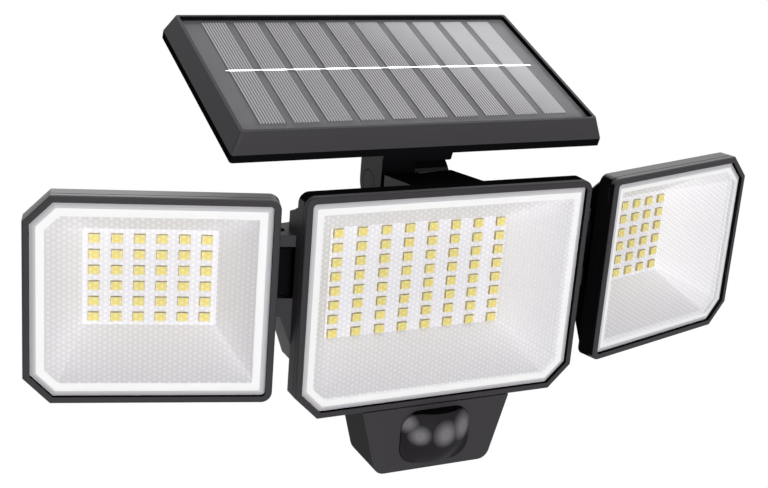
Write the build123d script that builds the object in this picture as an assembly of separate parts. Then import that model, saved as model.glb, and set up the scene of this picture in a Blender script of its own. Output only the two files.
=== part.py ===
"""Solar security light with three lamp heads, a tilting solar panel and a motion sensor.

Millimetres, +Z up, the fronts face -Y. The origin is the middle of the wall plate's back,
where the light meets the wall. The pieces are drawn with y = 0 at the fronts of the frames and
z = 0 at the middle of the centre lamp, and are moved to the wall when they are saved.
"""

import os
from math import sqrt

from build123d import *

os.makedirs("parts", exist_ok=True)

# ---- Whole light ----
reach = 128.0  # wall to the fronts of the lamp frames
mount_drop = 36.0  # middle of the wall plate below the middle of the centre lamp
side_yaw = 15.5  # each side lamp is turned out by this angle
panel_tilt = 18.8  # slope of the solar panel, low edge in front
slack = 0.15  # between pieces that drop into each other
play = 0.3  # between faces that slide past each other
bore_play = 0.05  # between a hinge pin and its bore, on the radius
post_root = 1.0  # posts and stems reach this far into what they stand on
blind_end = 1.0  # left in front of a screw's tip

# ---- Lamp heads ----
center_w = 120.8
center_h = 87.4
side_w = 88.7
side_h = 77.6
side_rise = 5.0  # the side lamps' middles above the centre lamp's
corner_cut = 9.5  # legs of the cut corners
corner_soft = 4.0  # radius of the other corners
frame_t = 3.0
frame_rim = 2.5
frame_lip = 1.2  # frame over the flange of the lens
frame_round = 0.8
frame_seam = 0.4  # bevel of the frame where it meets the case
lens_sink = 0.7
lens_flange = 1.3
lens_bevel = 2.0
seal_t = 0.8
seal_w = 2.0
band_depth = 8.3  # straight side of the case, counted from the frame's front
case_depth = 29.2
case_step = 1.2  # ledge behind its straight side
case_taper = 16.3  # how far the case draws in from there to its back
case_wall = 2.0
ledge = 1.6  # step inside the case that carries the reflector
tray_margin = 6.5
tray_wall = 1.2
board_depth = 26.0  # front of the LED boards
board_t = 1.6
chip_w = 4.1
chip_h = 3.5
chip_t = 1.2
center_base_w = 77.2  # floor of the centre reflector
center_base_h = 45.6
side_base_w = 49.2
side_base_h = 37.4
center_chips = 8  # columns, and as many rows
side_chips = 6
center_pitch_x = 10.2
center_pitch_z = 5.9
side_pitch_x = 8.15
side_pitch_z = 6.1

# ---- Side hinges ----
hinge_x = 64.5
hinge_depth = 16.0
hinge_inset = 1.0  # hinge axis inboard of the side lamp's inner edge
hinge_back = 17.9  # hinge axis behind the side lamp's front
hinge_gap = 20.0  # height between the two lugs
hinge_mid = 12.8  # height of the middle of that gap
lug_r = 6.2
lug_high_t = 4.4
lug_low_t = 7.3
knuckle_r = 5.8
knuckle_waist = 1.2  # the arm behind the knuckle is this much thinner, each side
pin_r = 2.5
pin_chamfer = 0.4
washer_t = 0.7
wing_root = 20.0  # how far the wing reaches in behind the centre lamp
wing_rear = 25.0
wing_skew = 8.0  # the wing's rear is drawn in by this much
wing_toe = 57.0  # its underside slopes in to here
wing_foot = -25.0
shoulder_z = 37.9  # shoulder over the upper lug; its top steps down to the rear
shoulder_bend = 14.0
shoulder_bend_z = 34.8
shoulder_back_z = 31.5
shoulder_side = 16.0  # depth where its side turns in
shoulder_skew = 2.9
gap_inner = 58.4

# ---- Sensor housing ----
sensor_top_w = 65.4
sensor_foot_w = 49.5
sensor_foot = -71.2
sensor_depth = 26.0
sensor_round = 5.0
sensor_wall = 1.6
sensor_roof = 1.3
sensor_neck_top = -30.0
sensor_gap = 0.1  # under the centre frame
dome_w = 30.4
dome_h = 22.6
dome_mid = -57.0
dome_round = 7.5
dome_out = 7.4
dome_curve = 20.0  # radius of the bulging front
dome_rise = 2.0  # its middle above the middle of the opening
dome_plinth = 0.6  # straight edge of the lens in front of the housing
dome_t = 0.8
dome_flange = 0.7
eye_r = 4.6
eye_t = 3.2
eye_depth = 5.0
eye_board_w = 26.0
eye_board_h = 16.0
eye_post_inset = 4.0

# ---- Rear box, cover and wall arm ----
box_w = 70.0
box_top = 18.0
box_foot = -27.0
box_depth = 62.0
box_wall = 2.2
box_round = 3.0
cover_t = 2.5
cover_lip = 3.0
boss_r = 3.4
screw_r = 1.5
screw_head_r = 2.8
screw_head_t = 1.8
screw_l = 12.0
cell_r = 9.2
cell_l = 65.2
cell_depth = 48.0
cell_z = -6.0
cradle_x = 20.0
cradle_t = 3.0
cradle_w = 14.0
circuit_w = 52.0
circuit_h = 36.0
circuit_depth = 33.0
post_inset_x = 5.0  # posts inside the edges of the circuit board
post_inset_z = 12.0  # and inside the top and foot of the box
arm_inset_x = 8.0  # the arm leaves the cover this far inside its sides
arm_inset_z = 6.0
arm_mid = -8.0  # middle of the arm where it leaves the cover
arm_end_w = 42.0
arm_end_h = 34.0
arm_wall = 2.5
arm_round = 4.0
foot_w = 64.0
foot_h = 40.0
foot_t = 3.0
foot_round = 5.0
foot_screw_x = 26.5
plate_w = 84.0
plate_h = 47.0
plate_t = 4.0
plate_round = 6.0
plate_bevel = 0.8
wall_hole_r = 2.4
wall_hole_x = 70.0  # between the holes, across
wall_hole_z = 33.0  # and up
button_r = 5.8
button_round = 0.8
button_out = 1.8
button_flange_r = 7.2
button_flange_t = 1.2
button_play = 0.3
button_depth = 46.0

# ---- Neck and solar panel ----
neck_depth = 45.5  # tilt axis
neck_z = 34.0
neck_r = 10.3
neck_left = 15.0
neck_right = 16.0
neck_washer_inset = 0.5
neck_pin_r = 3.0
neck_head_r = 5.0
neck_head_t = 3.0
spine_z = 40.4
spine_front_z = 43.5
panel_hinge_in = 33.8  # tilt axis in front of the panel's middle
panel_hinge_drop = 32.3  # and under its top
panel_top_w = 153.4
panel_top_d = 85.6
panel_w = 160.0
panel_d = 91.6
panel_slope_t = 8.3
panel_skirt = 3.3
panel_round = 1.2
panel_wall = 2.4
glass_w = 150.4
glass_d = 83.0
glass_round = 1.0
glass_t = 1.2
glass_sink = 0.4
cell_strips = 10
strip_pitch = 13.65
strip_w = 10.4
strip_d = 74.5
strip_shift = 1.9  # the strips sit this far behind the middle
strip_t = 0.3
backing_t = 1.6
lid_t = 2.0
room_inset = 4.0  # ledge round the lid inside the panel
block_half = 15.3
block_front = 42.0
block_rear = 8.0
block_t = 6.0
block_round = 2.0
leg_front = 11.0
leg_rear = 8.0
leg_toe_r = 3.0
leg_rest = 2.0  # further room in front of the leg, for the tilt
bracket_screw_x = 12.0
bracket_screw_y = 10.0

CUT_BELOW = ((1, -1), (-1, -1))
CUT_OUTER = ((1, 1), (1, -1))
ROOT2 = sqrt(2)


def at_depth(face, depth):
    """A face drawn in X and Z, stood up at a depth behind the fronts."""
    return Plane.XZ.offset(-depth) * face


def slab(face, start, end):
    """The drawn face carried straight back from one depth to another."""
    return extrude(at_depth(face, start), amount=start - end)


def draft(face, end_face, start, end):
    """A hopper between two drawn faces at two depths."""
    return loft([at_depth(face, start), at_depth(end_face, end)], ruled=True)


def lamp_outline(width, height, inset, cuts, cut=corner_cut, soft=corner_soft):
    """Lamp outline drawn in by an inset, with cut corners where cuts says and soft ones elsewhere."""
    half_w = width / 2 - inset
    half_h = height / 2 - inset
    least = 0.6
    runs = []
    corners = []
    for sx, sz in ((1, 1), (1, -1), (-1, -1), (-1, 1)):
        is_cut = (sx, sz) in cuts
        leg = max(cut - inset * (2 - ROOT2), least) if is_cut else max(soft - inset, least)
        level = (sx * (half_w - leg), sz * half_h)
        upright = (sx * half_w, sz * (half_h - leg))
        first, last = (level, upright) if sx * sz > 0 else (upright, level)
        if is_cut:
            bend = Line(first, last)
        else:
            reach_out = leg / ROOT2
            middle = (sx * (half_w - leg + reach_out), sz * (half_h - leg + reach_out))
            bend = ThreePointArc(first, middle, last)
        corners.append((first, last, bend))
    for number, (first, last, bend) in enumerate(corners):
        runs += [Line(corners[number - 1][1], first), bend]
    return make_face(Wire(runs))


class Lamp:
    """One lamp head: its size, where its corners are cut, and its LED field."""

    def __init__(self, name, width, height, cuts, base_w, base_h, count, pitch_x, pitch_z):
        self.name = name
        self.width = width
        self.height = height
        self.cuts = cuts
        self.base_w = base_w
        self.base_h = base_h
        self.count = count
        self.pitch_x = pitch_x
        self.pitch_z = pitch_z

    def face(self, inset):
        return lamp_outline(self.width, self.height, inset, self.cuts)

    def base(self, grow):
        return lamp_outline(self.base_w, self.base_h, -grow, self.cuts, cut=0.8, soft=0.8)

    def frame(self):
        """Front frame: a ring with a rounded nose and a seat behind for the lens."""
        seat = frame_rim - frame_lip
        ring = slab(self.face(0), 0, frame_t)
        nose = ring.faces().sort_by(Axis.Y)[0].edges()
        ring = fillet(nose, frame_round)
        ring = chamfer(ring.faces().sort_by(Axis.Y)[-1].edges(), frame_seam)
        ring -= slab(self.face(frame_rim), 0, frame_t)
        return ring - slab(self.face(seat - slack), frame_t - lens_flange, frame_t)

    def lens(self):
        """Clear window: a thin flange under the frame and a pane with bevelled edges."""
        pane = frame_rim + slack
        flange = slab(self.face(frame_rim - frame_lip), frame_t - lens_flange, frame_t)
        front = draft(
            self.face(pane + lens_bevel), self.face(pane), lens_sink, frame_t - lens_flange
        )
        return flange + front

    def seal(self):
        """Soft ring squeezed between the lens and the reflector's flange."""
        outer = case_wall + slack
        return slab(self.face(outer), frame_t, frame_t + seal_t) - slab(
            self.face(outer + seal_w), frame_t, frame_t + seal_t
        )

    def tray(self):
        """White reflector: a flange on the case's ledge and four leaning walls to the LEDs."""
        top = frame_t + seal_t
        flange = slab(self.face(case_wall + slack), top, top + tray_wall)
        shell = draft(
            self.face(tray_margin - tray_wall), self.base(tray_wall), top, board_depth
        )
        inside = draft(self.face(tray_margin), self.base(0), top, board_depth)
        return flange + shell - inside

    def board(self):
        """White aluminium board that carries the LEDs."""
        return slab(self.base(tray_wall), board_depth, board_depth + board_t)

    def chips(self):
        """The LEDs, one small block each, soldered to the board in a square field."""
        chip = slab(Rectangle(chip_w, chip_h), board_depth - chip_t, board_depth)
        middle = (self.count - 1) / 2
        places = [
            Pos((column - middle) * self.pitch_x, 0, (row - middle) * self.pitch_z)
            for column in range(self.count)
            for row in range(self.count)
        ]
        return [place * chip for place in places]

    def body(self):
        """Outside of the case: a straight band and a hopper that draws in behind it."""
        band = slab(self.face(0), frame_t, band_depth)
        hopper = draft(self.face(case_step), self.face(case_taper), band_depth, case_depth)
        return band + hopper

    def hollow(self):
        """Inside of the case, with the ledge that carries the reflector."""
        slope = (case_taper - case_step) / (case_depth - band_depth)
        floor = board_depth + board_t
        thick = case_wall * 1.1
        seat = frame_t + seal_t + tray_wall
        mouth = slab(self.face(case_wall), frame_t, seat)
        throat = slab(self.face(case_wall + ledge), seat, band_depth)
        deep = case_step + (floor - band_depth) * slope + thick
        back = draft(self.face(case_wall + ledge), self.face(deep), band_depth, floor)
        return mouth + throat + back


center = Lamp(
    "center", center_w, center_h, CUT_BELOW, center_base_w, center_base_h,
    center_chips, center_pitch_x, center_pitch_z,
)
side = Lamp(
    "side", side_w, side_h, CUT_OUTER, side_base_w, side_base_h,
    side_chips, side_pitch_x, side_pitch_z,
)

to_wall = Pos(0, -reach, mount_drop)


def side_place(hand):
    """Place of a side lamp's frame; hand is 1 for the right lamp and -1 for the left."""
    hinge = Pos(hand * hinge_x, hinge_depth, 0) * Rot(0, 0, hand * side_yaw)
    return hinge * Pos(hand * (hinge_inset + side_w / 2), -hinge_back, side_rise)


panel_place = (
    Pos(0, neck_depth, neck_z) * Rot(panel_tilt, 0, 0) * Pos(0, panel_hinge_in, panel_hinge_drop)
)
lug_top = hinge_mid + hinge_gap / 2
lug_foot = hinge_mid - hinge_gap / 2
lug_high = lug_top + lug_high_t
lug_low = lug_foot - lug_low_t
panel_t = panel_slope_t + panel_skirt


def upright(radius, x, depth, low, high):
    """A round bar standing on end."""
    return Pos(x, depth, (low + high) / 2) * Cylinder(radius, high - low)


def across(radius, depth, z, left, right):
    """A round bar lying along X."""
    return Pos((left + right) / 2, depth, z) * Rot(0, 90, 0) * Cylinder(radius, right - left)


def along(radius, x, z, start, end):
    """A round bar lying front to back."""
    return Pos(x, (start + end) / 2, z) * Rot(90, 0, 0) * Cylinder(radius, end - start)


def block(left, right, start, end, low, high):
    """A box between two positions each way."""
    return Pos((left + right) / 2, (start + end) / 2, (low + high) / 2) * Box(
        right - left, end - start, high - low
    )


# ---- Main housing ----
def wing():
    """The right arm of the housing: two lugs round the side lamp's hinge, and a shoulder above."""
    root = center_w / 2 - wing_root
    flank = center_w / 2 - slack
    tip = hinge_x + lug_r + play
    back = wing_rear + lug_r
    plan = make_hull(
        (Pos(hinge_x, hinge_depth) * Circle(lug_r)).edges()
        + Polyline(
            (root, band_depth), (flank, band_depth), (gap_inner - wing_skew, wing_rear),
            (root, wing_rear), close=True,
        ).edges()
    )
    front_view = make_face(
        Polyline(
            (root, lug_high), (tip, lug_high), (tip, lug_low), (hinge_x, lug_low),
            (wing_toe, wing_foot), (root, wing_foot), close=True,
        )
    )
    lugs = Pos(0, 0, wing_foot) * extrude(plan, amount=lug_high - wing_foot)
    lugs = (lugs & slab(front_view, 0, back)) - block(gap_inner, tip, 0, back, lug_foot, lug_top)
    shoulder_plan = make_face(
        Polyline(
            (root, band_depth), (flank, band_depth), (flank, shoulder_side),
            (gap_inner - shoulder_skew, wing_rear), (root, wing_rear), close=True,
        )
    )
    side_view = make_face(
        Polyline(
            (band_depth, shoulder_z), (shoulder_bend, shoulder_bend_z),
            (wing_rear, shoulder_back_z), (wing_rear, lug_top), (band_depth, lug_top), close=True,
        )
    )
    shoulder = Pos(0, 0, lug_top) * extrude(shoulder_plan, amount=shoulder_z - lug_top)
    shoulder = shoulder & extrude(Plane.YZ.offset(root) * side_view, amount=tip - root)
    return lugs + shoulder


def pin_bore():
    """Bore for the hinge pin, which is pressed in from above and stays inside the lower lug."""
    return upright(pin_r, hinge_x, hinge_depth, lug_low + pin_r / 2, lug_high)


def sensor_face(shrink, top):
    """The sensor housing's front: it narrows downward and its lower corners are round."""
    half_top = sensor_top_w / 2 - shrink
    half_foot = sensor_foot_w / 2 - shrink
    face = make_face(
        Polyline(
            (-half_top, top), (half_top, top), (half_foot, sensor_foot + shrink),
            (-half_foot, sensor_foot + shrink), close=True,
        )
    )
    low = face.vertices().group_by(Axis.Y)[0]
    return fillet(low, sensor_round - shrink)


def sensor_shell():
    """Sensor housing under the centre lamp, open inside, with the opening of its lens."""
    top = -center_h / 2
    outside = slab(sensor_face(0, top + case_wall), 0, sensor_depth)
    foot_edges = outside.edges().filter_by(Axis.X).group_by(Axis.Z)[0]
    outside = fillet(foot_edges.sort_by(Axis.Y)[-1], sensor_round)
    outside -= block(-center_w, center_w, 0, frame_t + play, top - sensor_gap, top + 2 * case_wall)
    half = sensor_top_w / 2
    collar = block(-half, half, band_depth, sensor_depth, top, sensor_neck_top)
    cavity = slab(
        sensor_face(sensor_wall, top - sensor_roof), sensor_wall, sensor_depth - sensor_wall
    )
    mouth = Pos(0, dome_mid) * RectangleRounded(dome_w, dome_h, dome_round)
    return outside + collar - cavity - slab(mouth, 0, sensor_wall)


def spine():
    """Raised middle of the housing's top, and the fixed knuckle of the panel's hinge."""
    knuckle_front = neck_depth - neck_r
    ridge_end = neck_depth - leg_front - 3 * play
    inner = washer_t / 2 + play / 2
    low = box_top - 2 * box_wall
    ridge = make_face(
        Polyline(
            (band_depth, spine_front_z), (knuckle_front, spine_z), (knuckle_front, low),
            (band_depth, low), close=True,
        )
    )
    body = extrude(Plane.YZ.offset(-neck_left) * ridge, amount=neck_left + neck_right)
    body -= block(-neck_left, inner, ridge_end - leg_rest, knuckle_front, low, spine_front_z)
    knuckle = across(neck_r, neck_depth, neck_z, inner, neck_right)
    stem = block(inner, neck_right, knuckle_front - post_root, neck_depth + neck_r, low, neck_z)
    return body + knuckle + stem


def rear_box():
    """Box behind the centre lamp for the battery and the circuit, open at the back."""
    high = (box_top + box_foot) / 2
    outer = Pos(0, high) * RectangleRounded(box_w, box_top - box_foot, box_round)
    inner = Pos(0, high) * RectangleRounded(
        box_w - 2 * box_wall, box_top - box_foot - 2 * box_wall, box_round - box_wall / 2
    )
    shell = slab(outer, board_depth + board_t, box_depth)
    room = slab(inner, case_depth, box_depth)
    return shell, room


def box_corners():
    """Where the four cover screws stand, in X and Z."""
    half = box_w / 2 - box_wall - boss_r * 0.8
    low = box_foot + box_wall + boss_r * 0.8
    high = box_top - box_wall - boss_r * 0.8
    return [(sx * half, z) for sx in (-1, 1) for z in (low, high)]


def main_housing():
    """The whole centre casting: lamp case, wings, sensor housing, neck spine and rear box."""
    right_wing = wing() - pin_bore()
    left_wing = mirror(right_wing, Plane.YZ)
    shell, room = rear_box()
    body = center.body() + sensor_shell() + spine() + shell
    body = body + right_wing + left_wing
    foot = case_depth - post_root
    bosses = [along(boss_r, x, z, foot, box_depth - cover_lip) for x, z in box_corners()]
    cradle_low = box_foot + box_wall / 2
    cradles = [
        block(
            x - cradle_t / 2, x + cradle_t / 2, cell_depth - cradle_w / 2,
            cell_depth + cradle_w / 2, cradle_low, cell_z,
        )
        for x in (-cradle_x, cradle_x)
    ]
    posts = [
        along(boss_r, sx * (circuit_w / 2 - post_inset_x), z, foot, circuit_depth)
        for sx in (-1, 1)
        for z in (box_foot + post_inset_z, box_top - post_inset_z)
    ]
    eye_post_x = eye_board_w / 2 - eye_post_inset
    eye_posts = [
        along(boss_r, sx * eye_post_x, dome_mid, eye_depth + eye_t + board_t, sensor_depth - post_root)
        for sx in (-1, 1)
    ]
    body = body - room - center.hollow()
    for piece in bosses + cradles + posts + eye_posts:
        body += piece
    holes = [along(screw_r, x, z, box_depth - screw_l, box_depth) for x, z in box_corners()]
    cell_seat = across(cell_r + slack, cell_depth, cell_z, -cell_l / 2, cell_l / 2)
    button_hole = upright(
        button_r + button_play, 0, button_depth, box_foot - box_wall, box_foot + box_wall
    )
    neck_bore = across(neck_pin_r + bore_play, neck_depth, neck_z, 0, neck_right)
    nut_seat = across(neck_head_r + slack, neck_depth, neck_z, neck_right - neck_head_t, neck_right)
    for cut in holes + [cell_seat, button_hole, neck_bore, nut_seat]:
        body -= cut
    return body


# ---- Side lamps ----
def side_case():
    """Case of a side lamp with the hinge knuckle on its inner shoulder."""
    axis_x = -side_w / 2 - hinge_inset
    height = hinge_gap - 2 * (washer_t + play)
    middle = hinge_mid - side_rise
    low = middle - height / 2
    high = middle + height / 2
    knuckle = upright(knuckle_r, axis_x, hinge_back, low, high)
    arm_half = knuckle_r - knuckle_waist
    arm = block(
        axis_x, axis_x + 2.2 * knuckle_r, hinge_back - arm_half, hinge_back + arm_half, low, high
    )
    case = side.body() + knuckle + arm - side.hollow()
    return case - upright(pin_r + bore_play, axis_x, hinge_back, low, high)


# ---- Solar panel, in its own frame: x across, y to the rear, z out of the glass ----
def layer(width, depth, radius, top, thick):
    """A flat rounded plate in the panel's frame, from its top face down."""
    return Pos(0, 0, top - thick) * extrude(RectangleRounded(width, depth, radius), amount=thick)


def panel_shell(shrink, top, foot):
    """The panel's outside: it slopes out to a short upright skirt."""
    small = RectangleRounded(
        panel_top_w - 2 * shrink, panel_top_d - 2 * shrink, panel_round - shrink * 0.5
    )
    large = RectangleRounded(panel_w - 2 * shrink, panel_d - 2 * shrink, panel_round)
    upper = loft([Pos(0, 0, top) * small, Pos(0, 0, -panel_slope_t) * large], ruled=True)
    lower = Pos(0, 0, foot) * extrude(large, amount=-panel_slope_t - foot)
    return upper + lower


laminate = glass_t + strip_t + backing_t
backing_low = glass_sink + laminate


def panel_frame():
    """Tray that holds the laminate on top and is closed by a lid below."""
    well = layer(
        glass_w + 2 * slack, glass_d + 2 * slack, glass_round, 0, glass_sink + laminate
    )
    room_top = backing_low + panel_wall
    inner_w = panel_w - 2 * panel_wall
    inner_d = panel_d - 2 * panel_wall
    room = layer(
        inner_w - 2 * room_inset, inner_d - 2 * room_inset, panel_round, -room_top,
        panel_t - room_top,
    )
    seat = layer(inner_w, inner_d, panel_round, -panel_t + lid_t, lid_t)
    return panel_shell(0, 0, -panel_t) - well - room - seat


def panel_arm():
    """Bracket under the panel: a block against the lid and a leg down to the tilt axis."""
    plate = Pos(0, -(block_front + block_rear) / 2, -panel_t - block_t / 2) * Box(
        2 * block_half, block_front - block_rear, block_t
    )
    plate = fillet(plate.edges().filter_by(Axis.Z), block_round)
    inner = -washer_t / 2 - play / 2
    head = neck_z + panel_hinge_drop
    toe = Pos(neck_depth - leg_front + leg_toe_r, neck_z - leg_toe_r) * Circle(leg_toe_r)
    profile = make_hull(
        (Pos(neck_depth, neck_z) * Circle(leg_rear)).edges()
        + toe.edges()
        + Line((neck_depth - leg_front, head), (neck_depth + leg_rear, head)).edges()
    )
    leg = extrude(Plane.YZ.offset(-neck_left) * profile, amount=neck_left + inner)
    leg -= panel_place * layer(panel_w, panel_d, panel_round, panel_w - panel_t, panel_w)
    arm = panel_place * plate + leg
    arm -= across(neck_pin_r + bore_play, neck_depth, neck_z, -neck_left, inner)
    seat = -neck_left + neck_head_t + play
    arm -= across(neck_head_r + play, neck_depth, neck_z, -neck_left, seat)
    for screw in bracket_screws():
        arm -= panel_place * screw
    return arm


def panel_strips():
    """The solar cells: ten dark strips side by side under the clear sheet."""
    top = -glass_sink - glass_t
    strip = layer(strip_w, strip_d, 0.4, top, strip_t)
    middle = (cell_strips - 1) / 2
    return [
        Pos((number - middle) * strip_pitch, strip_shift, 0) * strip
        for number in range(cell_strips)
    ]


def hinge_pin():
    """Plain pin through the two lugs and the side lamp's knuckle."""
    pin = upright(pin_r, hinge_x, hinge_depth, lug_low + pin_r / 2, lug_high)
    return chamfer(pin.edges().sort_by(Axis.Z)[-1], pin_chamfer)


def hinge_washers():
    """Two thin slip rings, one on each lug."""
    rings = []
    for low in (lug_foot, lug_top - washer_t):
        ring = upright(knuckle_r, hinge_x, hinge_depth, low, low + washer_t)
        rings.append(ring - upright(pin_r, hinge_x, hinge_depth, low, low + washer_t))
    return rings


def dome():
    """Smoked sensor lens: a bulging window with a level top, and a flange behind the wall."""
    middle = Pos(0, dome_mid)
    back = sensor_wall + dome_t

    def bulge(shrink):
        inset = 2 * (slack + shrink)
        outline = middle * RectangleRounded(dome_w - inset, dome_h - inset, dome_round - shrink)
        center = Pos(0, dome_curve - dome_out, dome_mid + dome_rise)
        swell = slab(outline, -dome_out, back) & (center * Sphere(dome_curve - shrink))
        return swell + slab(outline, shrink - dome_plinth, back)

    flange = slab(
        middle * RectangleRounded(dome_w + 4, dome_h + 2 * dome_flange, dome_round),
        sensor_wall, back,
    )
    return bulge(0) + flange - bulge(dome_t)


def sensor_eye():
    """Motion sensor: a small round can on its circuit board."""
    can = along(eye_r, 0, dome_mid, eye_depth, eye_depth + eye_t)
    board = slab(
        Pos(0, dome_mid) * Rectangle(eye_board_w, eye_board_h),
        eye_depth + eye_t, eye_depth + eye_t + board_t,
    )
    return can, board


def rear_cover():
    """Cover of the rear box with the hollow arm that slopes down to the wall plate."""
    middle = (box_top + box_foot) / 2
    cover_face = Pos(0, middle) * RectangleRounded(box_w, box_top - box_foot, box_round)
    start = box_depth
    end = reach - plate_t - foot_t
    near = Pos(0, arm_mid)
    far = Pos(0, -mount_drop)
    double = 2 * arm_wall
    arm_w = box_w - 2 * arm_inset_x
    arm_h = box_top - box_foot - 2 * arm_inset_z
    arm = draft(
        near * RectangleRounded(arm_w, arm_h, arm_round),
        far * RectangleRounded(arm_end_w, arm_end_h, arm_round),
        start, end,
    )
    hole = draft(
        near * RectangleRounded(arm_w - double, arm_h - double, arm_round / 2),
        far * RectangleRounded(arm_end_w - double, arm_end_h - double, arm_round / 2),
        start, end,
    )
    foot = slab(far * RectangleRounded(foot_w, foot_h, foot_round), end, end + foot_t)
    body = slab(cover_face, start, start + cover_t) + arm + foot - hole
    for x, z in box_corners():
        body -= along(screw_r + slack, x, z, start, start + cover_t)
    for x in (-foot_screw_x, foot_screw_x):
        body -= along(screw_r + slack, x, -mount_drop, end, end + foot_t)
    return body


def cover_screws():
    """Four pan-head screws that hold the cover."""
    start = box_depth + cover_t
    screws = []
    for x, z in box_corners():
        head = along(screw_head_r, x, z, start, start + screw_head_t)
        screws.append(head + along(screw_r, x, z, start - screw_l, start))
    return screws


def foot_screws():
    """Two screws that lock the arm to the wall plate."""
    start = reach - plate_t - foot_t
    screws = []
    for x in (-foot_screw_x, foot_screw_x):
        head = along(screw_head_r, x, -mount_drop, start - screw_head_t, start)
        screws.append(head + along(screw_r, x, -mount_drop, start, reach - blind_end))
    return screws


def wall_plate():
    """Plate screwed to the wall, with four countersunk corner holes."""
    start = reach - plate_t
    middle = Pos(0, -mount_drop)
    plate = slab(middle * RectangleRounded(plate_w, plate_h, plate_round), start, reach)
    plate = chamfer(plate.faces().sort_by(Axis.Y)[0].edges(), plate_bevel)
    for sx in (-1, 1):
        for sz in (-1, 1):
            x = sx * wall_hole_x / 2
            z = sz * wall_hole_z / 2 - mount_drop
            plate -= along(wall_hole_r, x, z, start, reach)
            sink = Rot(90, 0, 0) * Cone(wall_hole_r, 2 * wall_hole_r, wall_hole_r)
            plate -= Pos(x, start + wall_hole_r / 2, z) * sink
    for x in (-foot_screw_x, foot_screw_x):
        plate -= along(screw_r, x, -mount_drop, start, reach - blind_end)
    return plate


def power_button():
    """Push button under the rear box: a round cap with a flange that keeps it inside the wall."""
    inside = box_foot + box_wall + play
    cap = upright(button_r, 0, button_depth, box_foot - button_out, inside)
    cap = fillet(cap.edges().sort_by(Axis.Z)[0], button_round)
    return cap + upright(button_flange_r, 0, button_depth, inside, inside + button_flange_t)


def bracket_screws():
    """Four screws, in the panel's frame, that hold the bracket from inside the panel."""
    seat = -panel_t + lid_t
    tip = seat - lid_t - block_t + blind_end
    middle = -(block_front + block_rear) / 2
    screws = []
    for sx in (-1, 1):
        for sy in (-1, 1):
            x = sx * bracket_screw_x
            y = middle + sy * bracket_screw_y
            head = upright(screw_head_r, x, y, seat, seat + screw_head_t)
            screws.append(head + upright(screw_r, x, y, tip, seat))
    return screws


def neck_pin():
    """Screw along the tilt axis: a round head on the left and its nut on the right."""
    nut_left = neck_right - neck_head_t
    shank = across(
        neck_pin_r, neck_depth, neck_z, -neck_left + neck_head_t, neck_right - blind_end
    )
    head = across(neck_head_r, neck_depth, neck_z, -neck_left, -neck_left + neck_head_t)
    nut = across(neck_head_r, neck_depth, neck_z, nut_left, neck_right - slack)
    nut -= across(neck_pin_r, neck_depth, neck_z, nut_left, neck_right)
    return shank + head, nut


def save(name, solids, place=to_wall):
    """Writes one named piece, or one group of like pieces, at its place on the wall."""
    group = solids if isinstance(solids, list) else [solids]
    placed = [place * solid for solid in group]
    export_step(placed[0] if len(placed) == 1 else Compound(children=placed), f"parts/{name}.step")


def save_lamp(lamp, name, place, flip=False):
    """Writes the pieces of one lamp head; flip turns a right-hand lamp into a left-hand one."""
    pieces = {
        "frame": lamp.frame(), "lens": lamp.lens(), "seal": lamp.seal(),
        "reflector": lamp.tray(), "led_board": lamp.board(),
    }
    if lamp is side:
        pieces["case"] = side_case()
    for piece, solid in pieces.items():
        save(f"{name}_{piece}", place * (mirror(solid, Plane.YZ) if flip else solid))
    save(f"{name}_leds", [place * chip for chip in lamp.chips()])


save("main_housing", main_housing())
save_lamp(center, "center", Pos(0, 0, 0))
save_lamp(side, "right", side_place(1))
save_lamp(side, "left", side_place(-1), flip=True)

right_pin = hinge_pin()
save("hinge_pins", [right_pin, mirror(right_pin, Plane.YZ)])
right_rings = hinge_washers()
save("hinge_washers", right_rings + [mirror(ring, Plane.YZ) for ring in right_rings])

eye, eye_board = sensor_eye()
save("sensor_lens", dome())
save("sensor_element", eye)
save("sensor_board", eye_board)

save("rear_cover", rear_cover())
save("cover_screws", cover_screws())
save("arm_screws", foot_screws())
save("wall_plate", wall_plate())
save("battery_cell", across(cell_r, cell_depth, cell_z, -cell_l / 2, cell_l / 2))
circuit = Pos(0, (box_top + box_foot) / 2) * Rectangle(circuit_w, circuit_h)
save("control_board", slab(circuit, circuit_depth, circuit_depth + board_t))
save("power_button", power_button())

bolt, nut = neck_pin()
save("neck_bolt", bolt)
save("neck_nut", nut)
washer_r = neck_r - neck_washer_inset
ring = across(washer_r, neck_depth, neck_z, -washer_t / 2 + play / 2, washer_t / 2 + play / 2)
ring -= across(neck_pin_r, neck_depth, neck_z, -washer_t, washer_t)
save("neck_washer", ring)

panel_to_wall = to_wall * panel_place
save("panel_arm", panel_arm())
save("panel_frame", panel_frame(), panel_to_wall)
save("panel_glass", layer(glass_w, glass_d, glass_round, -glass_sink, glass_t), panel_to_wall)
save("solar_cells", panel_strips(), panel_to_wall)
backing = layer(glass_w, glass_d, glass_round, -glass_sink - glass_t - strip_t, backing_t)
save("panel_backing", backing, panel_to_wall)
lid_w = panel_w - 2 * panel_wall - 2 * slack
lid_d = panel_d - 2 * panel_wall - 2 * slack
lid = layer(lid_w, lid_d, panel_round, -panel_t + lid_t, lid_t)
for screw in bracket_screws():
    lid -= screw
save("panel_lid", lid, panel_to_wall)
save("bracket_screws", bracket_screws(), panel_to_wall)
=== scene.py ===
"""Solar security light with three lamps: materials, fine detail, camera and light.

Lengths are in millimetres unless a line says otherwise.
"""

import math

import bpy
import numpy as np
from mathutils import Matrix, Vector


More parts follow.
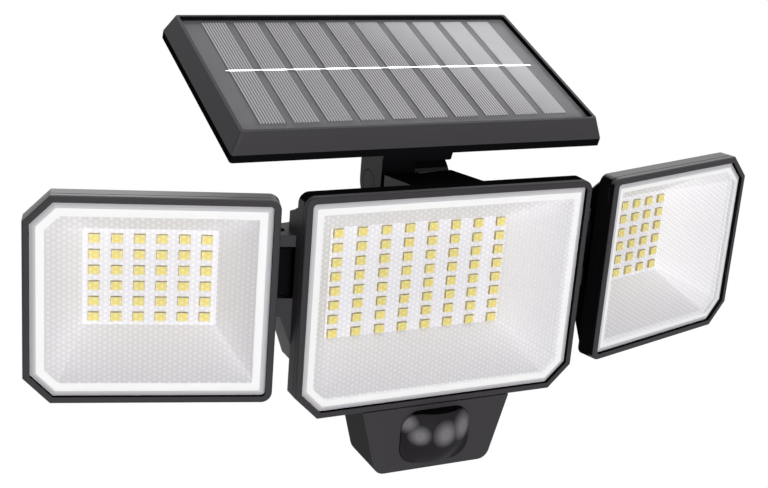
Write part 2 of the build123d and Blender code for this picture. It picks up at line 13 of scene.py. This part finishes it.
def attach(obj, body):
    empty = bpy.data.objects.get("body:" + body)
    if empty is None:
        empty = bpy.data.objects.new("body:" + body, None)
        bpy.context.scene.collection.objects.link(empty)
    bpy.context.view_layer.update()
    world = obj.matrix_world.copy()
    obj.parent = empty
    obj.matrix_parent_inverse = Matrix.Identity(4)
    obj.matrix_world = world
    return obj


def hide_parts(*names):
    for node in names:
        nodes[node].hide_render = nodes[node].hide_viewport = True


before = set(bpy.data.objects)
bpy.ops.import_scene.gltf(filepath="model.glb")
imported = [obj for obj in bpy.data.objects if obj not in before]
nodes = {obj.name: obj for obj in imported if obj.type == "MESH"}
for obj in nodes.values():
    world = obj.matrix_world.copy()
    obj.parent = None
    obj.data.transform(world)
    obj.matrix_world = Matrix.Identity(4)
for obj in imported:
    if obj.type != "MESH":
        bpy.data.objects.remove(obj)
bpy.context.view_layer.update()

# ---- Housing, rear cover, wall plate and button ----
# One black moulding carries the centre lamp, the hinge lugs, the panel's neck and the sensor; the
# cover, the plate and the button are moulded in the same fine-grained black. The gaps between the
# lugs and the top under the panel are painted near black as painted shade, and the sensor shell's
# flanks are painted darker as painted shade.
MM = 0.001
REACH = 128.0  # wall to the fronts of the lamp frames
DROP = 36.0  # wall plate's middle below the centre lamp's middle
CENTER_W, CENTER_H = 120.8, 87.4
LAMP_TOP = DROP + CENTER_H / 2
LAMP_FOOT = DROP - CENTER_H / 2
HINGE_LOW, HINGE_HIGH = 38.0, 60.0  # heights between the lugs, above the wall plate's middle
LUG_INNER, LUG_FRONT = 50.0, 9.0  # the lugs start this far out and this far behind the fronts
TOP_EDGE = 3.0  # depth of the housing's top edge
SQUARE_ON = 0.9  # a face looks along an axis where its normal has more than this of it
SHELL_FLANK = 0.8  # the same for the sensor shell's leaning flanks
GRAIN_SCALE, GRAIN_STRENGTH, GRAIN_DEPTH = 2600, 0.2, 0.00003  # cells a metre, share, metres


def linear(code):
    """Linear colour of an sRGB hex code."""
    values = [int(code[i : i + 2], 16) / 255 for i in (1, 3, 5)]
    return [v / 12.92 if v <= 0.04045 else ((v + 0.055) / 1.055) ** 2.4 for v in values] + [1.0]


def principled(mat):
    return mat.node_tree.nodes["Principled BSDF"]


def new_material(name, color, rough, **sockets):
    """Principled material; other socket values by name, with _ for a space."""
    mat = bpy.data.materials.new(name)
    mat.use_nodes = True
    shader = principled(mat)
    shader.inputs["Base Color"].default_value = linear(color)
    shader.inputs["Roughness"].default_value = rough
    for socket, value in sockets.items():
        shader.inputs[socket.replace("_", " ")].default_value = value
    return mat


def add_node(owner, kind, **settings):
    """New shader node of a material or the world, with its plain settings."""
    node = owner.node_tree.nodes.new(kind)
    for key, value in settings.items():
        setattr(node, key, value)
    return node


def wire(owner, output, target):
    owner.node_tree.links.new(output, target)


def grained(name, color, rough, specular):
    """Black plastic from a grained mould: a bump of fine noise on the object's coordinates."""
    mat = new_material(name, color, rough, Specular_IOR_Level=specular)
    coords = add_node(mat, "ShaderNodeTexCoord")
    noise = add_node(mat, "ShaderNodeTexNoise")
    noise.inputs["Scale"].default_value = GRAIN_SCALE
    noise.inputs["Detail"].default_value = 3.0
    bump = add_node(mat, "ShaderNodeBump")
    bump.inputs["Strength"].default_value = GRAIN_STRENGTH
    bump.inputs["Distance"].default_value = GRAIN_DEPTH
    wire(mat, coords.outputs["Object"], noise.inputs["Vector"])
    wire(mat, noise.outputs["Fac"], bump.inputs["Height"])
    wire(mat, bump.outputs["Normal"], principled(mat).inputs["Normal"])
    return mat


def paint(mat, *names):
    """Gives CAD nodes a material."""
    for name in names:
        slots = nodes[name].data.materials
        slots.clear()
        slots.append(mat)


def paint_faces(name, mat, rule):
    """Gives a CAD node's faces one more material where rule(normal, middle in mm) holds."""
    mesh = nodes[name].data
    mesh.materials.append(mat)
    index = len(mesh.materials) - 1
    for face in mesh.polygons:
        if rule(face.normal, face.center / MM):
            face.material_index = index


def between_lugs(normal, at):
    return abs(at.x) > LUG_INNER and HINGE_LOW < at.z < HINGE_HIGH and at.y > LUG_FRONT - REACH


black = grained("black_plastic", "#3a383b", 0.5, 0.12)
# Painted shade: a near-black copy of the plastic for faces that sit in shade, such as gaps and
# tops under the panel.
painted_shade = new_material("black_painted_shade", "#121113", 0.6, Specular_IOR_Level=0.0)
# Painted shade: a darker, less shiny copy of the plastic for the sensor shell's flanks.
flank_shade = new_material("black_flank_shade", "#2b292c", 0.55, Specular_IOR_Level=0.02)
paint(black, "main_housing", "rear_cover", "wall_plate", "power_button")
paint_faces(
    "main_housing", flank_shade, lambda normal, at: abs(normal.x) > SHELL_FLANK and at.z < LAMP_FOOT
)
paint_faces("main_housing", painted_shade, between_lugs)
paint_faces(
    "main_housing", painted_shade,
    lambda normal, at: at.z > LAMP_TOP - TOP_EDGE and normal.x > -SQUARE_ON,
)

# ---- Lamp cases and front frames ----
# Moulded hopper cases, closed in front by frames that snap on round the windows. The side lamps'
# level tops carry a painted sheen, a shinier and slightly lighter copy of the plastic, stronger on
# the left one; the inner flanks, the knuckles that reach into the housing's lugs and the frames'
# inner walls are painted near black as painted shade.
SIDE_W, SIDE_H, SIDE_RISE = 88.7, 77.6, 5.0
SIDE_YAW = math.radians(15.5)
HINGE_X, HINGE_DEPTH = 64.5, 16.0  # hinge axis: out from the middle and behind the fronts
HINGE_BACK, HINGE_INSET = 17.9, 1.0  # axis behind a side frame's front and inside its edge
KNUCKLE_REACH = 6.0  # the knuckle's side of the case, past the hinge axis
INNER_FLANK, LEVEL, INNER_WALL = 0.85, 0.5, 0.3  # shares of a normal, as SQUARE_ON


def move(x, y, z):
    return Matrix.Translation(Vector((x, y, z)) * MM)


to_wall = move(0, -REACH, DROP)


def side_place(hand):
    """Place of a side lamp's frame; hand is 1 for the right lamp and -1 for the left."""
    hinge = move(hand * HINGE_X, HINGE_DEPTH, 0) @ Matrix.Rotation(hand * SIDE_YAW, 4, "Z")
    return to_wall @ hinge @ move(hand * (HINGE_INSET + SIDE_W / 2), -HINGE_BACK, SIDE_RISE)


# One row a lamp: name, body, place with x across, y into the lamp and z up, width, height, cut
# corners, LEDs in a row and in a column, and their pitches across and up.
LAMPS = (
    ("center", "housing", to_wall, CENTER_W, CENTER_H, ((1, -1), (-1, -1)), 8, 10.2, 5.9),
    ("right", "right_lamp", side_place(1), SIDE_W, SIDE_H, ((1, 1), (1, -1)), 6, 8.15, 6.1),
    ("left", "left_lamp", side_place(-1), SIDE_W, SIDE_H, ((-1, 1), (-1, -1)), 6, 8.15, 6.1),
)


def inner_walls(place):
    """Rule for the faces of a frame that stand along its depth and look towards its middle."""
    inner, turned = place.inverted(), place.inverted().to_3x3()

    def rule(normal, at):
        to_face, looks = inner @ (at * MM), turned @ normal
        inwards = looks.x * to_face.x + looks.z * to_face.z < 0
        return abs(looks.y) < INNER_WALL and inwards

    return rule


paint(black, "left_case", "right_case", "center_frame", "left_frame", "right_frame")
# Painted sheen: shinier, slightly lighter copies of the plastic on the side lamps' level tops,
# stronger on the left.
side_sheens = (
    ("left", -1, grained("black_painted_sheen", "#3e3c3f", 0.42, 0.55)),
    ("right", 1, grained("black_painted_sheen_far", "#3e3c3f", 0.42, 0.26)),
)
for name, hand, painted_sheen in side_sheens:
    for piece in (f"{name}_case", f"{name}_frame"):
        paint_faces(piece, painted_sheen, lambda normal, at: normal.z > LEVEL)
        paint_faces(piece, painted_shade, lambda normal, at: hand * normal.x < -INNER_FLANK)
    paint_faces(f"{name}_case", painted_shade, lambda normal, at: hand * at.x < HINGE_X + KNUCKLE_REACH)
for name, _, place, *_ in LAMPS:
    paint_faces(f"{name}_frame", painted_shade, inner_walls(place))

# ---- Reflectors, LED boards and seals ----
# White hopper mouldings behind the windows, white coated aluminium boards screwed to their ends,
# and a white silicone seal pressed between each reflector and its window.
white = new_material("white_reflector", "#faf9fb", 0.5)
board = new_material("board_white", "#edecef", 0.45)
rubber = new_material("seal_silicone", "#f0eff1", 0.6)
for name, *_ in LAMPS:
    paint(white, f"{name}_reflector")
    paint(board, f"{name}_led_board")
    paint(rubber, f"{name}_seal")

# ---- Screws, pins, sensor can, boards and cell ----
# Blackened steel screws, pressed hinge pins between nylon washers, and behind the covers the
# sensor's steel can, two green boards and the lithium cell in its blue sleeve.
leg_black = new_material("black_leg", "#3a383b", 0.55, Specular_IOR_Level=0.13)
steel = new_material("screw_steel", "#5a595b", 0.35, Metallic=1.0)
circuit = new_material("circuit_board", "#1f5a34", 0.35)
sleeve = new_material("battery_sleeve", "#2c5a8a", 0.35)
paint(steel, "cover_screws", "arm_screws", "bracket_screws", "neck_nut", "sensor_element")
paint(leg_black, "neck_bolt")
# Painted shade: the hinge pins and nylon washers get the near-black shade material.
paint(painted_shade, "hinge_pins", "hinge_washers", "neck_washer")
paint(circuit, "sensor_board", "control_board")
paint(sleeve, "battery_cell")

# ---- LEDs ----
# Surface-mounted packages, soldered to the boards in square fields: a low block whose sides are
# painted olive as painted shade, a pale bevelled rim and a yellow phosphor window sunk a little
# into its top.
CHIP_W, CHIP_H, CHIP_T = 4.1, 3.5, 1.2
BOARD_DEPTH = 26.0  # the board's face behind the lamp's front
CHIP_EDGE, WINDOW_EDGE, WINDOW_SINK = 0.3, 0.8, 0.05
phosphor = new_material("led_phosphor", "#e7d77c", 0.45)
# Painted shade: the packages' sides are painted olive, darker than their rim.
package_side_shade = new_material("led_sides_painted_shade", "#b5a979", 0.5)
package_rim = new_material("led_rim", "#efe6b4", 0.5)


def mesh_piece(name, points, faces, mats, body, place=None):
    """New mesh object; points in mm, moved by place into the light's frame."""
    mesh = bpy.data.meshes.new(name)
    array = np.asarray(points, float) * MM
    if place is not None:
        array = array @ np.array(place.to_3x3()).T + np.array(place.to_translation())
    mesh.from_pydata(array.tolist(), [], [list(map(int, face)) for face in faces])
    mesh.update()
    obj = bpy.data.objects.new(name, mesh)
    bpy.context.scene.collection.objects.link(obj)
    for mat in mats:
        mesh.materials.append(mat)
    if body:
        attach(obj, body)
    return obj


def led_field(count, pitch_x, pitch_z):
    """Points, faces and material numbers of a square field of LED packages.

    Every package is a stack of four rectangles: the foot on the board, the shoulder at CHIP_T
    less a bevel, the top, CHIP_EDGE smaller, and the window, WINDOW_EDGE smaller. Faces 0 to 7
    are its sides, 8 to 11 its rim, 12 the window and 13 the foot.
    """
    sizes = np.array([CHIP_W, CHIP_H]) - np.array([0.0, 0.0, CHIP_EDGE, WINDOW_EDGE])[:, None]
    depths = BOARD_DEPTH - np.array([0.0, CHIP_T - CHIP_EDGE / 2, CHIP_T, CHIP_T - WINDOW_SINK])
    corners = np.array([[-0.5, -0.5], [0.5, -0.5], [0.5, 0.5], [-0.5, 0.5]])
    rings = sizes[:, None, :] * corners[None, :, :]
    chip = np.stack([rings[..., 0], np.repeat(depths[:, None], 4, 1), rings[..., 1]], -1)
    chip = chip.reshape(-1, 3)
    steps = np.arange(count) - (count - 1) / 2
    across, up = np.meshgrid(steps * pitch_x, steps * pitch_z, indexing="ij")
    shift = np.stack([across.ravel(), np.zeros(count * count), up.ravel()], -1)
    points = (shift[:, None, :] + chip[None, :, :]).reshape(-1, 3)
    here = np.arange(4)
    after = (here + 1) % 4
    sides = [
        np.stack([low + here, low + after, low + 4 + after, low + 4 + here], -1)
        for low in (0, 4, 8)
    ]
    one = np.concatenate(sides + [np.array([[12, 13, 14, 15]]), np.array([[3, 2, 1, 0]])])
    faces = (one[None] + len(chip) * np.arange(count * count)[:, None, None]).reshape(-1, 4)
    kinds = np.tile(np.array([1] * 8 + [2] * 4 + [0, 1]), count * count)
    return points, faces, kinds


for name, body, place, _, _, _, count, pitch_x, pitch_z in LAMPS:
    points, faces, kinds = led_field(count, pitch_x, pitch_z)
    finishes = (phosphor, package_side_shade, package_rim)
    leds = mesh_piece(f"{name}_leds_detail", points, faces, finishes, body, place)
    leds.data.polygons.foreach_set("material_index", kinds)
    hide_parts(f"{name}_leds")

# ---- Lens windows ----
# Clear plastic panes, clamped under the frames: a grey bevel in two facets, a milky border, and
# round dimples in a hexagonal field on the front cap. The back cap is plain, because two patterns
# behind each other would cancel.
FRAME_RIM, FRAME_LIP, FRAME_T, LENS_SINK, FLANGE = 2.65, 1.3, 3.0, 0.7, 1.3
BACK_GAP = 0.02  # the pane's back stays this far inside the frame's back
BEVEL = 2.0
BEVEL_BREAK, BEVEL_DROP = 0.55, 0.3  # where its two facets meet: share of its width, depth
BORDER = {"center": 2.5, "left": 2.9, "right": 1.7}
DIMPLE = 2.045  # pitch of the dimples
DIMPLE_LOW, DIMPLE_HIGH = 0.0, 2.4  # values of the field where a dimple starts and is clear
CUT, SOFT = 9.5, 4.0  # leg of a cut corner and radius of a round one, on the outer edge
LEAST, CORNER_POINTS = 0.6, 7  # least leg or radius of a corner, and its points
pane = new_material("clear_window", "#ffffff", 0.0, Transmission_Weight=1.0, IOR=1.0)
pane_back = new_material("window_back", "#ffffff", 0.0, Transmission_Weight=1.0, IOR=1.0)
bevel_grey = new_material("lens_bevel", "#d2d0d4", 0.4, Specular_IOR_Level=0.1)
border = new_material("lens_border", "#ffffff", 0.4, Alpha=0.85, Specular_IOR_Level=0.2)


def outline(width, height, inset, cuts, soft=SOFT):
    """Rectangle drawn in by an inset: straight cuts at the corners in cuts, arcs elsewhere."""
    half_w, half_h = width / 2 - inset, height / 2 - inset
    runs = []
    for sx, sz in ((1, 1), (-1, 1), (-1, -1), (1, -1)):
        if (sx, sz) in cuts:
            leg = max(CUT - inset * (2 - math.sqrt(2)), LEAST)
            start, end = np.array([[half_w, half_h - leg], [half_w - leg, half_h]])
            run = np.linspace(start, end, CORNER_POINTS)
        else:
            radius = max(soft - inset, LEAST)
            angle = np.linspace(0, math.pi / 2, CORNER_POINTS)
            middle = np.array([half_w - radius, half_h - radius])
            run = middle + radius * np.stack([np.cos(angle), np.sin(angle)], -1)
        run = run if sx * sz > 0 else run[::-1]
        runs.append(run * (sx, sz))
    return np.concatenate(runs)


def number(owner, operation, *inputs):
    """Math node; each input is a number or another node's output. Returns the output."""
    node = add_node(owner, "ShaderNodeMath", operation=operation)
    for socket, value in zip(node.inputs, inputs):
        if isinstance(value, (int, float)):
            socket.default_value = value
        else:
            wire(owner, value, socket)
    return node.outputs[0]


def soft_step(mat, value, low, high):
    """Map Range: 0 to 1 as value goes from low to high, clamped."""
    node = add_node(mat, "ShaderNodeMapRange")
    for socket, limit in zip(node.inputs[1:5], (low, high, 0.0, 1.0)):
        socket.default_value = limit
    wire(mat, value, node.inputs["Value"])
    return node.outputs[0]


def blend(mat, factor, first, second):
    """Colour between two; each is a hex code or another node's output. Returns the output."""
    node = add_node(mat, "ShaderNodeMix", data_type="RGBA")
    wire(mat, factor, node.inputs[0])
    for socket, value in zip(node.inputs[6:8], (first, second)):
        if isinstance(value, str):
            socket.default_value = linear(value)
        else:
            wire(mat, value, socket)
    return node.outputs[2]


def hex_field(mat, pitch):
    """Sum of three cosines on the UV map, which is in mm: 3 on the dimples and -1.5 between."""
    uv = add_node(mat, "ShaderNodeUVMap", uv_map="lens_mm")
    split = add_node(mat, "ShaderNodeSeparateXYZ")
    wire(mat, uv.outputs[0], split.inputs[0])
    wave = 4 * math.pi / (math.sqrt(3) * pitch)
    total = 0.0
    for angle in (0, 120, 240):
        along_x = number(mat, "MULTIPLY", split.outputs[0], wave * math.cos(math.radians(angle)))
        along_y = number(mat, "MULTIPLY", split.outputs[1], wave * math.sin(math.radians(angle)))
        cosine = number(mat, "COSINE", number(mat, "ADD", along_x, along_y))
        total = number(mat, "ADD", total, cosine)
    return total


def let_light_through(mat):
    """Shadow and diffuse rays pass the material as if it weren't there."""
    path = add_node(mat, "ShaderNodeLightPath")
    clear = add_node(mat, "ShaderNodeBsdfTransparent")
    mix = add_node(mat, "ShaderNodeMixShader")
    rays = number(mat, "MAXIMUM", path.outputs["Is Shadow Ray"], path.outputs["Is Diffuse Ray"])
    wire(mat, rays, mix.inputs[0])
    wire(mat, principled(mat).outputs[0], mix.inputs[1])
    wire(mat, clear.outputs[0], mix.inputs[2])
    wire(mat, mix.outputs[0], mat.node_tree.nodes["Material Output"].inputs[0])


def lens_mesh(width, height, cuts, milky):
    """Lens as stacked outlines: cap, milky border, two bevel facets, flange, back cap."""
    rings = (
        (FRAME_RIM + BEVEL + milky, LENS_SINK),
        (FRAME_RIM + BEVEL, LENS_SINK),
        (FRAME_RIM + BEVEL * BEVEL_BREAK, LENS_SINK + BEVEL_DROP),
        (FRAME_RIM, FRAME_T - FLANGE),
        (FRAME_LIP, FRAME_T - FLANGE),
        (FRAME_LIP, FRAME_T - BACK_GAP),
    )
    loops = []
    for inset, depth in rings:
        flat = outline(width, height, inset, cuts)
        loops.append(np.stack([flat[:, 0], np.full(len(flat), depth), flat[:, 1]], -1))
    points = np.concatenate(loops)
    count = len(loops[0])
    here = np.arange(count)
    after = (here + 1) % count
    faces = [here.tolist(), (len(points) - 1 - here).tolist()]
    kinds = [0, 3]
    for ring in range(len(rings) - 1):
        low, high = ring * count, (ring + 1) * count
        faces += np.stack([low + here, high + here, high + after, low + after], -1).tolist()
        kinds += [2 if ring == 0 else 1] * count
    return points, faces, kinds


dimples = soft_step(pane, hex_field(pane, DIMPLE), DIMPLE_LOW, DIMPLE_HIGH)
wire(pane, blend(pane, dimples, "#e4e3e7", "#ffffff"), principled(pane).inputs["Base Color"])
for mat in (pane, pane_back, bevel_grey, border):
    let_light_through(mat)
for name, body, place, width, height, cuts, *_ in LAMPS:
    points, faces, kinds = lens_mesh(width, height, cuts, BORDER[name])
    finishes = (pane, bevel_grey, border, pane_back)
    lens = mesh_piece(f"{name}_lens_detail", points, faces, finishes, body, place)
    lens.data.polygons.foreach_set("material_index", kinds)
    uv_map = lens.data.uv_layers.new(name="lens_mm")
    corner = np.empty(len(lens.data.loops), int)
    lens.data.loops.foreach_get("vertex_index", corner)
    uv_map.data.foreach_set("uv", points[corner][:, [0, 2]].ravel())
    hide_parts(f"{name}_lens")

# ---- Sensor lens ----
# Smoked, domed plastic, snapped into the shell under the centre lamp. Soft grey discs are painted
# on it as painted highlights, and its top faces are painted near black as painted shade under the
# shell.
# Painted highlights: soft grey discs on the smoked lens, each as x, z and radius.
PAINTED_HIGHLIGHTS = ((-9.1, -54.3, 4.6), (1.2, -54.0, 6.0), (10.0, -52.6, 6.4), (-13.6, -49.6, 4.5))
HIGHLIGHT_CORE = 0.3  # each disc (x, z, radius) fades from this share of its radius to its edge


def local_xyz(mat, place, turn_x):
    """X, Y and Z in a piece's own frame, in mm, from its object coordinates."""
    coords = add_node(mat, "ShaderNodeTexCoord")
    local = add_node(mat, "ShaderNodeMapping", vector_type="TEXTURE")
    local.inputs["Location"].default_value = place.to_translation()
    local.inputs["Rotation"].default_value = (turn_x, 0, 0)
    local.inputs["Scale"].default_value = (MM, MM, MM)
    split = add_node(mat, "ShaderNodeSeparateXYZ")
    wire(mat, coords.outputs["Object"], local.inputs["Vector"])
    wire(mat, local.outputs[0], split.inputs[0])
    return split.outputs


smoked = new_material("smoked_lens", "#262427", 0.4, Specular_IOR_Level=0.02)
x, _, z = local_xyz(smoked, to_wall, 0)
highlight_mask = 0.0
for middle_x, middle_z, radius in PAINTED_HIGHLIGHTS:
    side = number(smoked, "POWER", number(smoked, "SUBTRACT", x, middle_x), 2.0)
    rise = number(smoked, "POWER", number(smoked, "SUBTRACT", z, middle_z), 2.0)
    away = number(smoked, "SQRT", number(smoked, "ADD", side, rise))
    one_highlight = soft_step(smoked, away, radius, radius * HIGHLIGHT_CORE)
    highlight_mask = number(smoked, "MAXIMUM", highlight_mask, one_highlight)
wire(smoked, blend(smoked, highlight_mask, "#29272a", "#7a787c"), principled(smoked).inputs["Base Color"])
paint(smoked, "sensor_lens")
# Painted shade: the lens's top faces get the near-black shade material.
paint_faces("sensor_lens", painted_shade, lambda normal, at: normal.z > SQUARE_ON)

# ---- Panel frame, lid and bracket ----
# A sloped black frame with a lid screwed under it, and a bracket whose left leg clasps the
# housing's neck. The lid, the frame's upright walls and the rest of the bracket are painted near
# black as painted shade.
PANEL_TILT = math.radians(18.8)
UPRIGHT = 0.1  # a frame wall is upright where its normal has less than this along the panel's z
panel_turn = Matrix.Rotation(PANEL_TILT, 4, "X")
panel_place = to_wall @ move(0, 45.5, 34) @ panel_turn @ move(0, 33.8, 32.3)  # pivot, then panel
to_panel = panel_turn.inverted()
paint(grained("black_panel", "#403e41", 0.5, 0.12), "panel_frame")
paint_faces("panel_frame", painted_shade, lambda normal, at: abs((to_panel @ normal).z) < UPRIGHT)
paint(painted_shade, "panel_lid")
paint(black, "panel_arm")
paint_faces("panel_arm", leg_black, lambda normal, at: normal.x < -SQUARE_ON)
paint_faces("panel_arm", painted_shade, lambda normal, at: normal.x > -SQUARE_ON or at.x > 0)

# ---- Solar cells, backing and cover ----
# Ten silicon strips with printed fingers, laminated on a grey backing under a clear plate. Their
# greys are lifted by painted reflection of the bright surroundings besides their own tone, and a
# soft painted reflection brightens the panel towards its far right corner and hides the fingers
# there.
STRIPS, STRIP_PITCH, STRIP_W, STRIP_SHIFT = 10, 13.65, 10.4, 1.9
FINGERS = 9  # on each strip
FINGER_LOW, FINGER_HIGH = -0.1, 0.35  # values of the fingers' cosine at a finger's two edges
GLASS_W, GLASS_H, GLASS_SOFT, GLASS_TOP, GLASS_FOOT = 150.4, 83.0, 1.0, -0.4, -1.5
# Where the painted reflection starts and is full, along x plus REFLECTION_SLANT times y.
REFLECTION_SLANT, REFLECTION_START, REFLECTION_FULL = 0.85, 15.0, 66.0


def slab(width, height, top, foot, soft):
    """Points and faces of a flat plate with rounded corners, along x and y."""
    flat = outline(width, height, 0, (), soft)
    count = len(flat)
    points = np.concatenate([np.column_stack([flat, np.full(count, z)]) for z in (top, foot)])
    here = np.arange(count)
    after = (here + 1) % count
    sides = np.stack([here, here + count, after + count, after], -1)
    return points, [here.tolist(), (len(points) - 1 - here).tolist()] + sides.tolist()


def painted_reflection(mat, x, y):
    """Mask of the painted reflection: 0 where x + REFLECTION_SLANT * y is under REFLECTION_START,
    1 over REFLECTION_FULL.
    """
    along = number(mat, "ADD", x, number(mat, "MULTIPLY", y, REFLECTION_SLANT))
    return soft_step(mat, along, REFLECTION_START, REFLECTION_FULL)


cover = new_material("panel_cover", "#ffffff", 0.0, Transmission_Weight=1.0, IOR=1.0)
let_light_through(cover)
points, faces = slab(GLASS_W, GLASS_H, GLASS_TOP, GLASS_FOOT, GLASS_SOFT)
glass = mesh_piece("panel_glass_detail", points, faces, (cover,), "solar_panel", panel_place)
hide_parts("panel_glass")

# Painted reflection: the backing's grey is lifted above its own tone and lightens further towards
# the far right corner.
backing = new_material("panel_backing", "#757378", 0.55, Specular_IOR_Level=0.15)
x, y, _ = local_xyz(backing, panel_place, PANEL_TILT)
backing_with_reflection = blend(backing, painted_reflection(backing, x, y), "#757378", "#929094")
wire(backing, backing_with_reflection, principled(backing).inputs["Base Color"])
paint(backing, "panel_backing")

# Painted reflection: the strips' greys are lifted above their own tone, and turn pale and lose
# their fingers towards the far right corner.
silicon = new_material("solar_cells", "#8c8a8e", 0.3, Specular_IOR_Level=0.02)
x, y, _ = local_xyz(silicon, panel_place, PANEL_TILT)
strips = number(silicon, "ADD", number(silicon, "DIVIDE", x, STRIP_PITCH), STRIPS / 2)
share = number(silicon, "SUBTRACT", number(silicon, "FRACT", strips), 0.5)
across = number(silicon, "MULTIPLY", share, STRIP_PITCH)
phase = number(silicon, "MULTIPLY", across, FINGERS * 2 * math.pi / STRIP_W)
finger = soft_step(silicon, number(silicon, "COSINE", phase), FINGER_LOW, FINGER_HIGH)
printed = blend(silicon, finger, "#8c8a8e", "#dad8dc")
cells_with_reflection = blend(silicon, painted_reflection(silicon, x, y), printed, "#e4e2e6")
wire(silicon, cells_with_reflection, principled(silicon).inputs["Base Color"])
paint(silicon, "solar_cells")

# ---- Bus bar ----
# A tinned ribbon, soldered along the middle of the strips. It is wide on every strip and a thin
# link over the gaps between them and past the outer ones.
CELL_TOP = -1.6
BUS_W, BUS_LINK_W, BUS_T = 1.2, 0.6, 0.06
BUS_OVER_LEFT, BUS_OVER_RIGHT = 1.3, 2.6  # its ends past the outer strips
bus_silver = new_material("bus_bar", "#edebef", 0.3, Metallic=1.0)


def bus_bar():
    """Boxes along x, each from a start to an end: first the strips', then the links', then both
    ends'. Corners 0 to 3 go round a box's foot and 4 to 7 round its top."""
    middle = (np.arange(STRIPS) + 0.5) * STRIP_PITCH - STRIPS * STRIP_PITCH / 2
    left, right = middle - STRIP_W / 2, middle + STRIP_W / 2
    starts = np.concatenate([left, right[:-1], [left[0] - BUS_OVER_LEFT, right[-1]]])
    ends = np.concatenate([right, left[1:], [left[0], right[-1] + BUS_OVER_RIGHT]])
    halves = np.repeat([BUS_W / 2, BUS_LINK_W / 2], [STRIPS, STRIPS + 1])
    round_x = np.stack([starts, ends, ends, starts], -1)
    round_y = STRIP_SHIFT + halves[:, None] * np.array([-1, -1, 1, 1])
    foot = np.stack([round_x, round_y, np.full_like(round_x, CELL_TOP)], -1)
    points = np.concatenate([foot, foot + (0, 0, BUS_T)], 1).reshape(-1, 3)
    box = np.array([
        (3, 2, 1, 0), (4, 5, 6, 7), (0, 1, 5, 4), (1, 2, 6, 5), (2, 3, 7, 6), (3, 0, 4, 7),
    ])
    return points, (box + 8 * np.arange(len(starts))[:, None, None]).reshape(-1, 4)


mesh_piece("bus_bar", *bus_bar(), (bus_silver,), "solar_panel", panel_place)

# ---- Camera ----
# Fitted to the photograph: it stands in front of the left lamp, looks down on the light a little
# and is rolled, and it sees the whole light at rest. Places are in metres.
CAMERA_AT = (-0.2488, -0.5618, 0.22285)
LENS, SENSOR_W, FAR_CLIP = 65.55, 36.0, 20.0
ROLL = math.radians(4.602)
RIGHT = Vector((0.89197, -0.45210, 0.0))
UP = Vector((0.14327, 0.28267, 0.94846))
BACK = Vector((-0.42880, -0.84599, 0.31690))
scene = bpy.context.scene
camera = bpy.data.objects.new("camera", bpy.data.cameras.new("camera"))
scene.collection.objects.link(camera)
camera.data.lens = LENS
camera.data.sensor_width = SENSOR_W
camera.data.clip_end = FAR_CLIP
axis_x = math.cos(ROLL) * RIGHT + math.sin(ROLL) * UP
axis_y = math.cos(ROLL) * UP - math.sin(ROLL) * RIGHT
turned = Matrix((axis_x, axis_y, BACK)).transposed().to_4x4()
camera.matrix_world = Matrix.Translation(CAMERA_AT) @ turned
scene.camera = camera

# ---- Lamps of the studio ----
# A wide key light from the front, a weak one from behind that glints on the level tops, and a
# broad one that lights the back. Each row: name, strength, where it comes from, spread in degrees.
SUNS = (
    ("key", 2.45, (-0.15, -1.0, 0.02), 30),
    ("glint", 0.25, (0.57, 0.58, 0.65), 12),
    ("rear", 0.8, (0.3, 1.0, 0.7), 50),
)
for name, strength, place, spread in SUNS:
    data = bpy.data.lights.new(name, "SUN")
    data.energy = strength
    data.angle = math.radians(spread)
    sun = bpy.data.objects.new(name, data)
    sun.location = place
    sun.rotation_euler = (-Vector(place)).to_track_quat("-Z", "Y").to_euler()
    scene.collection.objects.link(sun)

# ---- Background and floor ----
# Plain white for the camera, reflections and what shows through the windows; the light that the
# background gives is much weaker. The floor lies far below and looks just as white.
WORLD_LIGHT = 0.24
FLOOR_HALF, FLOOR_Z = 8000.0, -900.0
scene.view_settings.view_transform = "Standard"


def seen_rays(owner):
    """1 for the rays that show the white background: camera, glossy and transmission rays."""
    rays = add_node(owner, "ShaderNodeLightPath").outputs
    seen = number(owner, "MAXIMUM", rays["Is Camera Ray"], rays["Is Glossy Ray"])
    return number(owner, "MAXIMUM", seen, rays["Is Transmission Ray"])


def mix_seen(owner, unseen, seen, output):
    """Sends one shader's output to the rays that see the background and another's to the rest."""
    choose = add_node(owner, "ShaderNodeMixShader")
    wire(owner, seen_rays(owner), choose.inputs[0])
    wire(owner, unseen, choose.inputs[1])
    wire(owner, seen, choose.inputs[2])
    wire(owner, choose.outputs[0], output.inputs[0])


def white_background(strength):
    node = add_node(world, "ShaderNodeBackground")
    node.inputs["Color"].default_value = (1, 1, 1, 1)
    node.inputs["Strength"].default_value = strength
    return node.outputs[0]


world = bpy.data.worlds.new("studio")
scene.world = world
world.use_nodes = True
world.node_tree.nodes.clear()
world_output = add_node(world, "ShaderNodeOutputWorld")
mix_seen(world, white_background(WORLD_LIGHT), white_background(1.0), world_output)

floor_mat = bpy.data.materials.new("floor")
floor_mat.use_nodes = True
principled(floor_mat).inputs["Base Color"].default_value = (0.8, 0.8, 0.8, 1)
principled(floor_mat).inputs["Roughness"].default_value = 0.9
glow = add_node(floor_mat, "ShaderNodeEmission")
glow.inputs["Strength"].default_value = 1.0
floor_output = floor_mat.node_tree.nodes["Material Output"]
mix_seen(floor_mat, principled(floor_mat).outputs[0], glow.outputs[0], floor_output)
floor_corners = [
    (-FLOOR_HALF, -FLOOR_HALF, FLOOR_Z), (FLOOR_HALF, -FLOOR_HALF, FLOOR_Z),
    (FLOOR_HALF, FLOOR_HALF, FLOOR_Z), (-FLOOR_HALF, FLOOR_HALF, FLOOR_Z),
]
floor = mesh_piece("floor", floor_corners, [(0, 1, 2, 3)], (floor_mat,), None)
